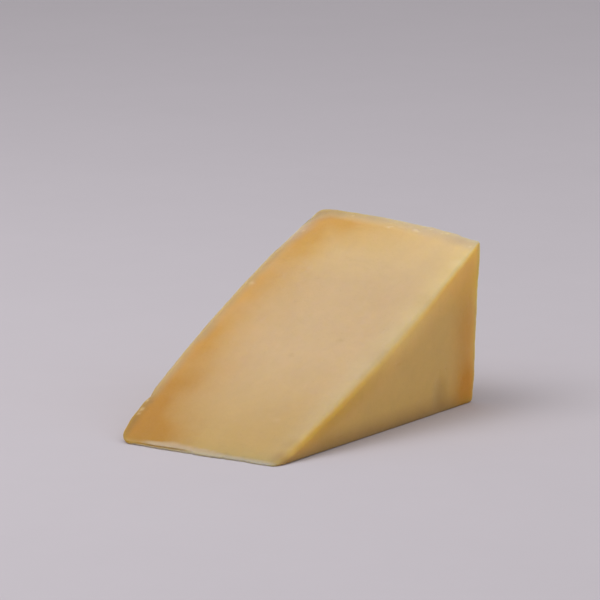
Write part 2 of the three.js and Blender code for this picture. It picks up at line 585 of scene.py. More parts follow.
        peak = math.sqrt(1 / 3) * (2 / 3)
        cut_swell = self.cut_end_swell * (1 - share) ** 3 * arch(run) * fill
        rind_arch = np.sqrt(run) * (1 - run) / peak
        rind_swell = self.rind_end_swell * share**3 * rind_arch * mix(0.4, 1, fill)
        mark = self.press_mark
        press = mark.depth * (1 - share) ** 8 * hollow(
            np.hypot(
                (from_tip - mark.from_tip) / mark.half_length,
                (height - mark.height) / mark.half_height,
            )
        )
        nick = self.nick.depth * fill**4 * hollow(
            np.hypot(
                (from_tip - self.nick.from_tip) / self.nick.half_length,
                (self.width / 2 - y) / self.nick.half_height,
            )
        )
        across = y + rind_swell - cut_swell + press - nick
        return np.stack([from_tip, across, height], axis=-1)

    def surface(self) -> Surface:
        """The whole closed surface, with the faces of the skin told from those of the cuts.

        The grid's rows run from the middle of the cut end over the sides to the middle of the rind
        end, and its columns run round the profile. A single point closes each end.

        Returns:
            The surface.
        """
        cut_rows = self.end_rows(CUT_END)[::-1]
        rind_rows = self.end_rows(RIND_END)
        grid = np.concatenate([cut_rows, self.side_rows(), rind_rows])
        rows, columns = grid.shape[:2]
        poles = np.array([self.face_middle(CUT_END), self.face_middle(RIND_END)])
        straight = np.concatenate([grid.reshape(-1, 3), poles])

        index = np.arange(rows * columns).reshape(rows, columns)
        low, high = index[:-1], index[1:]
        quads = np.stack([low, high, np.roll(high, -1, axis=1), np.roll(low, -1, axis=1)], axis=-1)
        first, last = index[0], index[-1]
        cut_pole = np.full(columns, rows * columns)
        caps = np.concatenate(
            [
                np.stack([cut_pole, first, np.roll(first, -1)], axis=-1),
                np.stack([cut_pole + 1, np.roll(last, -1), last], axis=-1),
            ]
        )

        base_start = self.corner_steps[Corner.TIP]
        base_stop = base_start + self.side_steps[Side.BASE]
        heel_middle = base_stop + self.corner_steps[Corner.HEEL] // 2
        top_middle = heel_middle + self.side_steps[Side.RIND]
        top_middle += (self.corner_steps[Corner.HEEL] + self.corner_steps[Corner.TOP]) // 2
        column = np.arange(columns)
        round_side = (column >= heel_middle) & (column < top_middle)
        row = np.arange(rows - 1)
        flat_side = row >= rows - len(rind_rows) + self.edge_steps * 2 // 3
        beyond_cut = row >= len(cut_rows) - self.edge_steps // 2
        skin = flat_side[:, None] | (round_side[None] & beyond_cut[:, None])
        return Surface(
            straight=straight,
            raw=self.warp(straight),
            quads=quads.reshape(-1, 4),
            caps=caps,
            skin_quads=skin.reshape(-1),
            skin_caps=np.repeat([False, True], columns),
            base_quads=np.tile((column >= base_start) & (column < base_stop), rows - 1),
        )


# ---- Relief and marks ------------------------------------------------------------------------


@dataclass(frozen=True)
class Blemish:
    """A small mark on the surface: its raw place, its radius, how deep it goes and its tint.

    Depth is in mm, and below zero for what stands out. Tint runs from -1, dark, to 1, pale.
    """

    from_tip: float
    across: float
    height: float
    radius: float
    depth: float
    tint: float


@dataclass(frozen=True)
class GoldPatch:
    """A place where the golden band under the rind is stronger, or weaker if below zero.

    Centre and reach are in mm along the chunk, across it and up.
    """

    centre: tuple[float, float, float]
    reach: tuple[float, float, float]
    strength: float

    def at(self, raw: Array) -> Array:
        """Strength at the raw points: a round hollow, stretched to the patch's reach."""
        away = (raw - np.array(self.centre)) / np.array(self.reach)
        return self.strength * hollow(np.linalg.norm(away, axis=1))


# Crumbs that lie on the edges.
CRUMBS = (
    Blemish(109.3, 1.9, 53.2, 1.0, -0.22, 0.9),
    Blemish(110.0, 0.9, 53.5, 0.7, -0.18, 0.7),
    Blemish(111.3, 2.1, 54.0, 0.6, -0.2, 0.7),
    Blemish(111.2, -7.2, 52.8, 1.1, -0.24, 1.0),
    Blemish(110.9, -8.4, 52.7, 0.8, -0.18, 0.7),
    Blemish(112.2, -4.7, 53.6, 0.7, -0.3, 0.9),
    Blemish(113.0, -12.4, 53.2, 0.7, -0.42, 0.6),
    Blemish(113.1, -17.9, 52.4, 0.7, -0.24, 0.8),
    Blemish(112.6, -16.2, 52.5, 0.6, -0.18, 0.6),
    Blemish(110.3, -28.4, 49.9, 0.9, -0.12, 0.8),
    Blemish(109.9, 15.9, 55.3, 0.7, -0.16, 0.6),
    Blemish(98.2, 27.2, 51.4, 0.9, -0.12, 0.4),
    Blemish(69.6, 27.4, 38.5, 1.4, -0.14, 0.5),
)
# Small chips off the edges, with the marks beside them.
CHIPS = (
    Blemish(16.2, 29.6, 10.2, 0.9, 0.2, 0.7),
    Blemish(12.4, 29.0, 8.2, 1.5, 0.16, 0.6),
    Blemish(10.6, 28.9, 7.2, 1.2, 0.1, 0.4),
    Blemish(12.6, 26.9, 7.8, 1.1, 0.1, -0.5),
    Blemish(15.6, 27.6, 9.6, 1.2, 0.12, -0.6),
    Blemish(18.6, 29.7, 11.2, 1.4, 0.2, -0.4),
    Blemish(113.4, -9.6, 53.8, 0.8, 0.3, -0.2),
    Blemish(112.9, -0.8, 54.9, 0.9, 0.25, 0.0),
    Blemish(99.0, -30.1, 45.0, 1.2, 0.12, 0.3),
)
# Broad places where an edge is worn down, or stands a little higher.
WORN_SPOTS = (
    Blemish(105.3, 30.0, 54.2, 5.5, 0.75, 0.0),
    Blemish(97.0, 30.2, 50.6, 14.0, 0.35, 0.0),
    Blemish(110.8, 23.5, 56.5, 5.0, -0.2, 0.0),
    Blemish(114.2, -12.8, 53.4, 4.5, -0.35, 0.0),
    Blemish(82.5, -29.6, 38.6, 6.5, 0.45, -0.1),
    Blemish(101.5, -29.6, 47.0, 4.5, -0.5, 0.3),
    Blemish(56.0, -29.6, 26.6, 8.0, 0.15, -0.16),
    Blemish(113.6, -29.6, 45.0, 7.0, -0.2, 0.0),
    Blemish(110.8, -29.6, 9.0, 8.0, -0.2, 0.0),
    Blemish(114.3, -19.5, 52.5, 6.0, -0.2, 0.0),
)
# Faint darker and paler places; the two by the tip on the cut end are painted shade.
STAINS_AND_SHADE = (
    Blemish(26.0, -30.0, 3.0, 9.0, 0.0, -0.1),
    Blemish(58.0, -14.1, 26.9, 1.6, 0.05, -0.14),
    Blemish(46.4, -3.4, 22.9, 1.8, 0.05, -0.12),
    Blemish(90.5, -30.0, 5.4, 8.0, 0.0, -0.24),
    # The next two: painted shade on the cut end by the tip.
    Blemish(4.0, -29.2, 2.2, 5.5, 0.0, -0.5),
    Blemish(10.5, -28.6, 5.6, 6.0, 0.0, -0.2),
    Blemish(87.1, -14.6, 40.5, 2.0, 0.0, 0.12),
    Blemish(19.5, -16.3, 9.1, 2.0, 0.0, 0.12),
)
MARKS = (CRUMBS, CHIPS, WORN_SPOTS, STAINS_AND_SHADE)
GOLD_PATCHES = (
    GoldPatch((99.0, 20.0, 52.0), (24.0, 20.0, 16.0), 0.35),
    GoldPatch((84.0, 29.0, 46.0), (18.0, 7.0, 13.0), -0.2),
    GoldPatch((34.0, 14.0, 19.0), (20.0, 16.0, 14.0), 0.36),
    GoldPatch((24.0, 22.5, 14.0), (14.0, 12.0, 10.0), 0.3),
    GoldPatch((44.0, 26.0, 25.0), (12.0, 7.0, 9.0), 0.2),
    GoldPatch((6.0, 12.0, 3.0), (26.0, 34.0, 14.0), 0.72),
    GoldPatch((105.0, -30.0, 4.0), (15.0, 8.0, 16.0), 1.3),
    GoldPatch((103.0, -30.0, 24.0), (14.0, 8.0, 20.0), 0.8),
)


def marked(raw: Array, marks: tuple[Blemish, ...]) -> tuple[Array, Array]:
    """Adds up what a group of marks does: each is a round hollow of its depth and tint.

    Args:
        raw: the raw points.
        marks: the group.

    Returns:
        The relief in mm and the tint of each point.
    """
    relief = np.zeros(len(raw))
    tint = np.zeros(len(raw))
    for mark in marks:
        centre = np.array([mark.from_tip, mark.across, mark.height])
        shape = hollow(np.linalg.norm(raw - centre, axis=1) / mark.radius)
        relief -= mark.depth * shape
        tint += mark.tint * shape
    return relief, tint


@dataclass(frozen=True)
class Places:
    """Where each point lies: its raw place, and how far inside each plane of the wedge it is.

    The noise fields can be read there too.
    """

    raw: Array
    base: Array
    back: Array
    slope: Array
    cut: Array
    end: Array
    fields: NoiseFields

    def noise(self, *layers: Layer) -> Array:
        """Sum of some noise layers at each point."""
        return self.fields.sum(self.raw, *layers)

    def spots(self, speckle: Speckle) -> Array:
        """How far each point lies in a spot of a speckle."""
        return speckle.step.at(self.noise(speckle.layer))

    def from_edge(self) -> Array:
        """Distance from the nearest edge: the second smallest of those from the planes."""
        planes = (self.base, self.back, self.slope, self.cut, self.end)
        return np.sort(np.stack(planes), axis=0)[1]


@dataclass(frozen=True)
class Lip:
    """The thin tip where the slope runs out: a pale flaky lip with a crease under it, in mm.

    Spans and middles are measured across the chunk. The crease carries painted shade, and the blunt
    front painted light.
    """

    reach: float = 2.6
    foot_radius: float = 0.46
    foot_fill: float = 0.9
    crease_height: float = 0.8
    crease_half_height: float = 0.14
    crease_span: SoftSpan = SoftSpan(1, 6, 17, 23)
    crease_depth: float = 0.5
    # Painted shade in the crease.
    crease_shade: float = 0.6
    ragged: Layer = Layer(1, 1.3, 0.5)
    ragged_span: SoftSpan = SoftSpan(-26, -18, 0, 5)
    raggedness: float = 0.3
    notches: tuple[tuple[float, float, float], ...] = (
        (1.8, 1.2, 0.45),
        (-4.6, 0.7, 0.5),
        (-7.4, 0.8, 0.35),
        (-10.2, 0.8, 0.5),
        (-17.5, 1.6, 0.35),
    )
    corner_tuck: float = 0.85
    corner_from_tip: SoftStep = fade(2, 10)
    corner_across: SoftStep = SoftStep(23, 29)
    fringe: tuple[float, float] = (1.6, 2.5)
    fringe_middle: float = 6.0
    fringe_half_span: float = 20.0
    fringe_waver: Layer = Layer(0, 3, 0.3)
    fringe_edge: SoftStep = fade(0.45, 1)
    fringe_strength: SoftStep = SoftStep(-16, 0, 0.8, 1)
    fringe_end: SoftStep = fade(16, 22)
    under_crease: SoftStep = fade(-2, 6, 0.75)
    over_crease: SoftStep = SoftStep(-0.1, 0.2)
    # Painted light on the tip's blunt front.
    foot_light_height: SoftStep = SoftStep(-3, 8, 1.35, 0.75)
    foot_light_edge: SoftStep = fade(0.25, 1)
    foot_light_span: SoftSpan = SoftSpan(-29.5, -25, 21, 27)
    foot_light_tint: float = 0.45

    def nearness(self, from_tip: Array) -> Array:
        """1 at the tip, fading to 0 at the lip's reach."""
        return 1 - smooth_step(self.reach / 3, self.reach, from_tip)

    def crease(self, raw: Array) -> Array:
        """How far each point lies in the crease: a bell over its height, where the crease runs.

        Args:
            raw: the raw points.

        Returns:
            Strength from 0 to 1 at each point.
        """
        from_tip, across, height = raw.T
        bell = np.exp(-(((height - self.crease_height) / self.crease_half_height) ** 2))
        return bell * self.crease_span.at(across) * self.nearness(from_tip)

    def shift(self, raw: Array, noise: NoiseFields) -> Array:
        """Works out how the lip moves the raw points near the tip.

        The rounded underside of the tip is filled out to a foot: a point below the middle of the
        rounding moves out by r (1 - sqrt(1 - u u)), with u the share of r it lies below it. At the
        crease the points move in by a bell over their height. Each notch, given by its place, half
        width and depth, moves them in by a hollow across, and the noise makes the edge ragged on
        the cut end's side. The round corner at the rind end is tucked in.

        Args:
            raw: the raw points.
            noise: the noise fields.

        Returns:
            What to add to each point, in mm.
        """
        from_tip, across, height = raw.T
        near = self.nearness(from_tip)
        under = np.clip(1 - height / self.foot_radius, 0, 1)
        inward = -self.foot_fill * self.foot_radius * (1 - np.sqrt(1 - under**2))
        for place, half_width, depth in self.notches:
            inward = inward + depth * hollow(np.abs(across - place) / half_width)
        ragged = (0.5 + noise.sum(raw, self.ragged)) * self.ragged_span.at(across)
        inward = (inward + self.raggedness * ragged) * near
        inward = inward + self.crease_depth * self.crease(raw)
        corner = self.corner_from_tip.at(from_tip) * self.corner_across.at(across)
        return np.stack([inward, -self.corner_tuck * corner, np.zeros_like(near)], axis=-1)

    def painted_foot_light(self, raw: Array) -> Array:
        """How far the tip's blunt front is painted lighter, standing in for light the floor bounces
        onto it: its foot, and most of it by the cut end.

        Args:
            raw: the raw points.

        Returns:
            Strength from 0 to 1 at each point.
        """
        from_tip, across, height = raw.T
        low = self.foot_light_edge.at(height / self.foot_light_height.at(across))
        return low * self.nearness(from_tip) * self.foot_light_span.at(across)

    def pale(self, raw: Array, noise: NoiseFields) -> Array:
        """How far the thin edge is pale: its front, with painted light, and a fringe widest past
        its middle, partly dried pale and partly a painted highlight.

        Args:
            raw: the raw points.
            noise: the noise fields.

        Returns:
            Strength from 0 to 1 at each point.
        """
        from_tip, across, height = raw.T
        middle = hollow(np.abs(across - self.fringe_middle) / self.fringe_half_span)
        width = mix(*self.fringe, middle) * (1 + noise.sum(raw, self.fringe_waver))
        fringe = self.fringe_edge.at(from_tip / width)
        fringe = fringe * self.fringe_strength.at(across) * self.fringe_end.at(across)
        over = self.over_crease.at(height - self.crease_height)
        fringe = fringe * mix(self.under_crease.at(across), 1, over)
        return np.maximum(fringe, self.painted_foot_light(raw))


@dataclass(frozen=True)
class Relief:
    """Fine relief of the cuts, of the skin and of the worn edges. Depths are in mm."""

    drag: Layers = (Layer(0, (42, 4.2, 42)), Layer(1, (60, 1.7, 60), 0.5))
    drag_depth: float = 0.05
    grain: Layers = (Layer(1, 2.3), Layer(2, 1.1, 0.8))
    grain_depth: float = 0.028
    pits: Speckle = Speckle(Layer(3, 1.7), SoftStep(0.5, 0.8))
    pitted_places: Speckle = Speckle(Layer(4, 11), SoftStep(0, 0.5))
    pit_depth: float = 0.16
    skin_wave: Layers = (Layer(4, 13), Layer(5, 6, 0.5))
    skin_wave_depth: float = 0.18
    skin_grain: Layer = Layer(2, 2.4)
    skin_grain_depth: float = 0.05
    skin_fine_share: float = 0.5
    edge_width: SoftStep = fade(0.25, 1.5)
    edge_off_base: SoftStep = SoftStep(0.4, 1.6)
    bites: Speckle = Speckle(Layer(5, 2.6), SoftStep(0.1, 0.75))
    small_bites: Speckle = Speckle(Layer(0, 1.2), SoftStep(0, 0.7, 0, 0.5))
    bite_depth: float = 0.16

    def edge(self, places: Places) -> Array:
        """How near each point is to a worn edge, leaving out the edges of the base."""
        return self.edge_width.at(places.from_edge()) * self.edge_off_base.at(places.base)

    def at(self, places: Places, skin: Array, edge: Array) -> Array:
        """Works out the relief.

        The cuts get long shallow knife waves, a fine grain and sparse pits. The skin gets broad
        waves and a coarser grain. Worn edges lose small bites.

        Args:
            places: where the points lie.
            skin: 1 on the skin, 0 on the cuts.
            edge: how near each point is to a worn edge.

        Returns:
            How far each point stands out, in mm.
        """
        grain = places.noise(*self.grain)
        pits = places.spots(self.pits) * places.spots(self.pitted_places)
        cut = self.drag_depth * places.noise(*self.drag) + self.grain_depth * grain
        cut = cut - self.pit_depth * pits * (1 - edge)
        wave = self.skin_wave_depth * places.noise(*self.skin_wave)
        coarse = places.noise(self.skin_grain) + self.skin_fine_share * grain
        rind = wave + self.skin_grain_depth * coarse
        bites = places.spots(self.bites) + places.spots(self.small_bites)
        return mix(cut, rind, skin) - self.bite_depth * edge * bites


@dataclass(frozen=True)
class Zones:
    """Which part of the chunk each point belongs to.

    Depth is how deep in mm it lies under the rind. Back is 1 by the back, slope is 1 on the slope
    and fresh is 1 on the cut end, and all three are 0 elsewhere.
    """

    depth: Array
    back: Array
    slope: Array
    fresh: Array


@dataclass(frozen=True)
class Ridge:
    """The worn ridge between the slope and the cut end, and the looks of the faces beside it.

    Soft steps run over heights, depths or widths in mm. Those of the turn and of the painted foot
    shade's share run over a share.
    """

    turn_high: SoftStep = SoftStep(44, 51, 0, 0.3)
    turn_low: SoftStep = fade(12, 32, 0.25)
    turn_foot: SoftStep = fade(3, 14, 0.25)
    slope_turn: SoftStep = fade(0.25, 1.1)
    fresh_depth: SoftStep = fade(1.5, 3.0)
    # Pale crest, partly a painted highlight, and painted glow on the cut end under it.
    crest_width: SoftStep = fade(1, 11)
    crest_height: SoftStep = SoftStep(-2, 8)
    crest_strength: SoftStep = SoftStep(10, 45, 0.4, 0.8)
    glow_width: SoftStep = fade(3.0, 10.5)
    glow_from_tip: SoftStep = fade(12, 50, 0.7)
    glow_start: SoftStep = SoftStep(1, 15)
    # Painted shade low on the cut end, darker towards its foot.
    foot_shade_height: SoftStep = fade(0, 7)
    foot_shade_share: SoftStep = SoftStep(0.15, 0.6)
    foot_shade_from_tip: SoftStep = SoftStep(10, 50, 0.8, 1)
    # Painted contact shadow at the cut end's foot.
    contact_height: SoftStep = fade(0.2, 1.3)
    contact_level: float = 0.7
    contact_waver: Layer = Layer(5, 2.6, 0.3)
    contact_shade: float = 0.2
    crest_wear: float = 0.75
    wear_depth: SoftStep = SoftStep(1, 4)

    @staticmethod
    def share(first: Array, second: Array) -> Array:
        """The first distance's share of both, a little less where both are small."""
        return first / (first + second + 0.01)

    def slope(self, places: Places) -> Array:
        """How far each point belongs to the slope.

        That fades as the ridge turns towards the cut end: with the distance inside the slope as a
        share of those inside both faces, and sooner at the top corner and low down.

        Args:
            places: where the points lie.

        Returns:
            1 on the slope, 0 on the cut end.
        """
        height = places.raw[:, 2]
        turned = self.share(np.maximum(places.slope, 0), np.maximum(places.cut, 0))
        turned = turned + self.turn_high.at(height)
        return self.slope_turn.at(turned + self.turn_foot.at(height) + self.turn_low.at(height))

    def fields(self, places: Places, zones: Zones, edge: Array) -> dict[str, Array]:
        """Works out the fields of the faces beside the ridge.

        The crest is pale on the slope's side, partly its dried edge and partly a painted highlight,
        and has a painted glow on the cut end's side, standing in for light through the thin ridge.
        The cut end has painted shade low down, but not right under the slope. Worn edges are pale,
        less on the crest and not on the rind.

        Args:
            places: where the points lie.
            zones: the parts of the chunk.
            edge: how near each point is to a worn edge.

        Returns:
            The fields by name.
        """
        from_tip, _, height = places.raw.T
        # Pale crest on the slope's side, partly a painted highlight, and painted glow on the cut
        # end's side.
        near_crest = self.crest_width.at(places.cut)
        crest = zones.slope * near_crest * self.crest_height.at(height)
        glow = np.maximum(self.glow_width.at(places.slope), self.glow_from_tip.at(from_tip))
        glow = zones.fresh * glow * self.glow_start.at(from_tip)
        below = self.foot_shade_share.at(self.share(np.maximum(places.slope, 0), height))
        return {
            "fresh": zones.fresh,
            "crest": crest * self.crest_strength.at(height) + glow,
            "painted_foot_shade": self.foot_shade_height.at(height) * below * self.foot_shade_from_tip.at(from_tip),
            "wear": edge * (1 - self.crest_wear * near_crest) * self.wear_depth.at(zones.depth),
        }

    def contact(self, places: Places, zones: Zones) -> Array:
        """Painted contact shadow: how dark the cut end is right at its foot."""
        foot = zones.fresh * self.contact_height.at(places.raw[:, 2])
        return self.contact_shade * foot * (self.contact_level + places.noise(self.contact_waver))


@dataclass(frozen=True)
class OuterLayer:
    """The dry rim under the rind and the golden band inside it, by the depth under the rind.

    A pair of values holds for the rind end and for the back. Depths and heights are in mm, and
    what is named fresh holds for the cut end.
    """

    rim_radius: float = 9.0
    depth_waver: Layers = (Layer(3, 9, 0.7), Layer(2, 4, 0.4))
    back: SoftStep = fade(3, 12)

    dry_start: tuple[float, float] = (1.3, 0.4)
    dry_width: tuple[float, float] = (5.0, 6.2)
    dry_strength: float = 0.9
    corner_height: SoftStep = SoftStep(44, 53)
    corner_across: SoftStep = SoftStep(12, 24)
    corner_widening: float = 1.6
    fresh_dry_start: float = -0.4
    fresh_dry_share: SoftStep = SoftStep(42, 50, 0.32, 0.6)
    fresh_dry_strength: SoftStep = SoftStep(26, 50, 0.6, 0.85)
    end_rim_height: SoftStep = SoftStep(45, 53, 1, 0.1)
    back_rim_across: SoftStep = SoftStep(-8, 25)

    gold_start: tuple[float, float] = (-0.8, 1.6)
    gold_full: tuple[float, float] = (2.4, 8.0)
    gold_reach: tuple[float, float] = (17.5, 17.0)
    foot_reach: SoftStep = fade(2, 8, 26)
    top_reach: SoftStep = SoftStep(40, 50, 0, 6)
    tail_depth: float = 34.0
    tail_share: tuple[float, float] = (0.47, 0.12)
    low_tail_share: SoftStep = fade(12, 34, 0.15)
    fresh_gold_height: SoftStep = fade(26, 44)
    fresh_gold_start: float = -1.5
    fresh_gold_full: float = 1.2
    fresh_gold_reach: float = 20.0
    fresh_tail_share: float = 0.35
    gold_across: SoftStep = SoftStep(-26, 24)
    gold_strength: float = 0.87
    gold_waver: Layers = (Layer(5, 8, 0.12), Layer(5, 4, 0.1))
    gold_most: float = 1.2

    def depth(self, places: Places) -> Array:
        """Depth under the rind: the nearer of its two sides, with their rim rounded off.

        Inside the rim's radius r of both sides, the depth is r less the hypotenuse of how far
        the point is within r of each. The noise makes it uneven.

        Args:
            places: where the points lie.

        Returns:
            The depth of each point, in mm.
        """
        radius = self.rim_radius
        within = np.hypot(
            np.maximum(radius - places.back, 0), np.maximum(radius - places.end, 0)
        )
        depth = np.where(within > 0, radius - within, np.minimum(places.back, places.end))
        return depth + places.noise(*self.depth_waver)

    def dry(self, places: Places, zones: Zones) -> dict[str, Array]:
        """Works out the fields of the dry rim.

        It is deeper at the rim's top and less dry on the cut end. It takes the rim's own colours
        by the back, but less towards the cut, and by the end, but for the top.

        Args:
            places: where the points lie.
            zones: the parts of the chunk.

        Returns:
            The fields by name.
        """
        _, across, height = places.raw.T
        corner = self.corner_height.at(height) * self.corner_across.at(across)
        width = mix(*self.dry_width, zones.back) + self.corner_widening * corner
        width = width * mix(1, self.fresh_dry_share.at(height), zones.fresh)
        start = mix(mix(*self.dry_start, zones.back), self.fresh_dry_start, zones.fresh)
        dry = self.dry_strength * (1 - smooth_step(start, width, zones.depth))
        by_end, by_back = self.end_rim_height.at(height), self.back_rim_across.at(across)
        return {
            "dry": dry * mix(1, self.fresh_dry_strength.at(height), zones.fresh),
            "rim": mix(by_end, by_back, zones.back),
        }

    def gold(self, places: Places, zones: Zones) -> Array:
        """Strength of the golden band under the rind.

        The band rises from the dry rim, deeper in on the back's side, and right at the rind low
        on the cut end. It falls off in two parts, a near one and a long tail. The near one reaches
        further at the tip and at the top, and the tail is stronger low down. The band fades out
        across the chunk, towards the cut end, and the patches add to it.

        Args:
            places: where the points lie.
            zones: the parts of the chunk.

        Returns:
            The strength at each point.
        """
        _, across, height = places.raw.T
        back, beside = zones.back, 1 - zones.back
        fresh = zones.fresh * self.fresh_gold_height.at(height)
        start = mix(mix(*self.gold_start, back), self.fresh_gold_start, fresh)
        full = mix(mix(*self.gold_full, back), self.fresh_gold_full, fresh)
        reach = mix(*self.gold_reach, back) + self.foot_reach.at(height)
        reach = reach + self.top_reach.at(height) * beside
        reach = mix(reach, self.fresh_gold_reach, fresh)
        share = mix(*self.tail_share, back) + self.low_tail_share.at(height) * beside
        share = mix(share, self.fresh_tail_share, fresh)
        near = 1 - smooth_step(full, reach, zones.depth)
        tail = 1 - smooth_step(full, self.tail_depth, zones.depth)
        band = smooth_step(start, full, zones.depth) * mix(near, tail, share)
        uneven = self.gold_strength + places.noise(*self.gold_waver)
        strength = self.gold_across.at(across) * uneven
        strength = strength + sum(patch.at(places.raw) for patch in GOLD_PATCHES)
        return np.clip(band * strength, 0, self.gold_most)


@dataclass(frozen=True)
class Dressing:
    """Lays the relief and the marks over the wedge, and works out the fields of the finishes."""

    wedge: Wedge
    lip: Lip = Lip()
    relief: Relief = Relief()
    ridge: Ridge = Ridge()
    outer: OuterLayer = OuterLayer()
    relief_off_base: SoftStep = SoftStep(0.05, 0.9)
    seed: int = 11

    def places(self, straight: Array, raw: Array, noise: NoiseFields) -> Places:
        """Finds where points lie.

        Args:
            straight: the points on the straight prism.
            raw: the same points after the warp.
            noise: the noise fields.

        Returns:
            Their places, with the distances taken on the prism.
        """
        x, y, z = straight.T
        tall, long = self.wedge.mean_height, self.wedge.sharp_length
        half = self.wedge.width / 2
        slope = (x * tall - z * long) / self.wedge.slope_length
        return Places(raw, z, long - x, slope, y + half, half - y, noise)

    def zones(self, places: Places) -> Zones:
        """Tells the parts of the chunk apart.

        Args:
            places: where the points lie.

        Returns:
            The part of each point.
        """
        slope = self.ridge.slope(places)
        return Zones(
            depth=self.outer.depth(places),
            back=self.outer.back.at(places.back),
            slope=slope,
            fresh=(1 - slope) * self.ridge.fresh_depth.at(places.cut),
        )

    def dress(self, surface: Surface) -> tuple[Array, dict[str, Array]]:
        """Moves the points of the smooth surface along its normals and works out their fields.

        All relief fades out at the base, so that the chunk stays flat there.

        Args:
            surface: the smooth surface.

        Returns:
            The final points in part coordinates, in mm, and their fields by name.
        """
        noise = NoiseFields(self.seed)
        raw = surface.raw + self.lip.shift(surface.raw, noise)
        normals = replace(surface, raw=raw).normals()
        places = self.places(surface.straight, raw, noise)
        zones = self.zones(places)

        skin = np.zeros(len(raw))
        skin[np.unique(surface.quads[surface.skin_quads])] = 1
        edge = self.relief.edge(places)
        relief = self.relief.at(places, skin, edge)
        lip, ridge, outer = self.lip, self.ridge, self.outer
        # Tint: painted light on the tip's blunt front, and painted shade in its crease.
        tint = lip.foot_light_tint * lip.painted_foot_light(raw) - lip.crease_shade * lip.crease(surface.raw)
        # Painted contact shadow at the cut end's foot.
        tint = tint - ridge.contact(places, zones)
        for marks in MARKS:
            mark_relief, mark_tint = marked(raw, marks)
            relief = relief + mark_relief
            tint = tint + mark_tint

        points = raw + normals * (relief * self.relief_off_base.at(places.base))[:, None]
        points[:, 2] = np.maximum(points[:, 2], 0)
        low, high = points.min(axis=0), points.max(axis=0)
        points[:, :2] -= (low[:2] + high[:2]) / 2
        fields = {
            "gold": outer.gold(places, zones),
            "lip": lip.pale(raw, noise),
            "tint": np.clip(tint, -1, 1),
        }
        fields |= outer.dry(places, zones) | ridge.fields(places, zones, edge)
        return points, fields


# ---- Finishes --------------------------------------------------------------------------------


class Graph:
    """A node tree being wired, with short ways to place the nodes that the finishes use."""

    def __init__(self, tree: bpy.types.NodeTree) -> None:
        """Starts wiring an empty tree."""
        self.tree = tree
        tree.nodes.clear()

    def add(self, kind: str, inputs: dict[Any, Any] | None = None, **settings: Any) -> Node:
        """Places a node.

        Args:
            kind: the node's type, without its leading ShaderNode.
            inputs: what each input, by name or number, is set to or linked from.
            settings: the node's own properties.

        Returns:
            The node.
        """
        node = self.tree.nodes.new("ShaderNode" + kind)
        for name, value in settings.items():
            setattr(node, name, value)
        for key, value in (inputs or {}).items():
            if isinstance(value, Socket):
                self.tree.links.new(value, node.inputs[key])
            else:
                node.inputs[key].default_value = value
        return node

    def attribute(self, name: str) -> Socket:
        """Value of one of the surface's own fields."""
        return self.add("Attribute", attribute_name=name).outputs["Fac"]

    def position(self) -> Socket:
        """Place on the object, in metres."""
        return self.add("TexCoord").outputs["Object"]

    def height(self, place: Socket) -> Socket:
        """Height of a place over the base, in mm."""
        return self.times(self.add("SeparateXYZ", {0: place}).outputs["Z"], 1 / MM)

    def math(self, operation: str, first: Any, second: Any, clamp: bool = False) -> Socket:
        """Result of one sum on two values."""
        node = self.add("Math", {0: first, 1: second}, operation=operation, use_clamp=clamp)
        return node.outputs[0]

    def times(self, first: Any, second: Any, clamp: bool = False) -> Socket:
        """Product of two values."""
        return self.math("MULTIPLY", first, second, clamp)

    def noise(self, vector: Any, size: float, detail: float, rough: float) -> Socket:
        """Smooth noise from 0 to 1, with features of a size in mm."""
        values = {"Vector": vector, "Scale": 1 / (size * MM), "Detail": detail, "Roughness": rough}
        return self.add("TexNoise", values).outputs["Fac"]

    def step(self, value: Any, step: SoftStep) -> Socket:
        """Soft step of a value."""
        values = {"Value": value, 1: step.start, 2: step.stop, 3: step.first, 4: step.last}
        return self.add("MapRange", values, interpolation_type="SMOOTHSTEP").outputs[0]

    def blend(self, factor: Any, first: Any, second: Any, mode: str = "MIX") -> Socket:
        """Colour between two colours, by a factor."""
        sockets = {0: factor, 6: self.opaque(first), 7: self.opaque(second)}
        return self.add("Mix", sockets, data_type="RGBA", blend_type=mode).outputs[2]

    def effect(self, tree: bpy.types.NodeTree, place: Socket, size: float, amount: float) -> Node:
        """Places a shared effect, with features of a size in mm."""
        inputs = {"Vector": place, "Scale": 1 / (size * MM), "Amount": amount}
        return self.add("Group", inputs, node_tree=tree)

    @staticmethod
    def opaque(colour: Any) -> Any:
        """A plain colour with its alpha added; a socket stays as it is."""
        return colour if isinstance(colour, Socket) else (*colour, 1.0)


class SocketKind(Enum):
    """Kind of a node group's socket."""

    VALUE = "NodeSocketFloat"
    PLACE = "NodeSocketVector"


def open_group(name: str, outputs: tuple[str, ...]) -> tuple[Graph, Node, Node]:
    """Starts a shared effect: a node group that is given a place, a scale and an amount.

    Args:
        name: the group's name.
        outputs: the names of the values that it gives.

    Returns:
        The graph to wire, the node that gives the inputs and the node that takes the outputs.
    """
    tree = bpy.data.node_groups.new(name, "ShaderNodeTree")
    inputs = {"Vector": SocketKind.PLACE, "Scale": SocketKind.VALUE, "Amount": SocketKind.VALUE}
    given = dict.fromkeys(outputs, SocketKind.VALUE)
    for in_out, sockets in (("INPUT", inputs), ("OUTPUT", given)):
        for socket, kind in sockets.items():
            tree.interface.new_socket(name=socket, in_out=in_out, socket_type=kind.value)
    graph = Graph(tree)
    return graph, tree.nodes.new("NodeGroupInput"), tree.nodes.new("NodeGroupOutput")


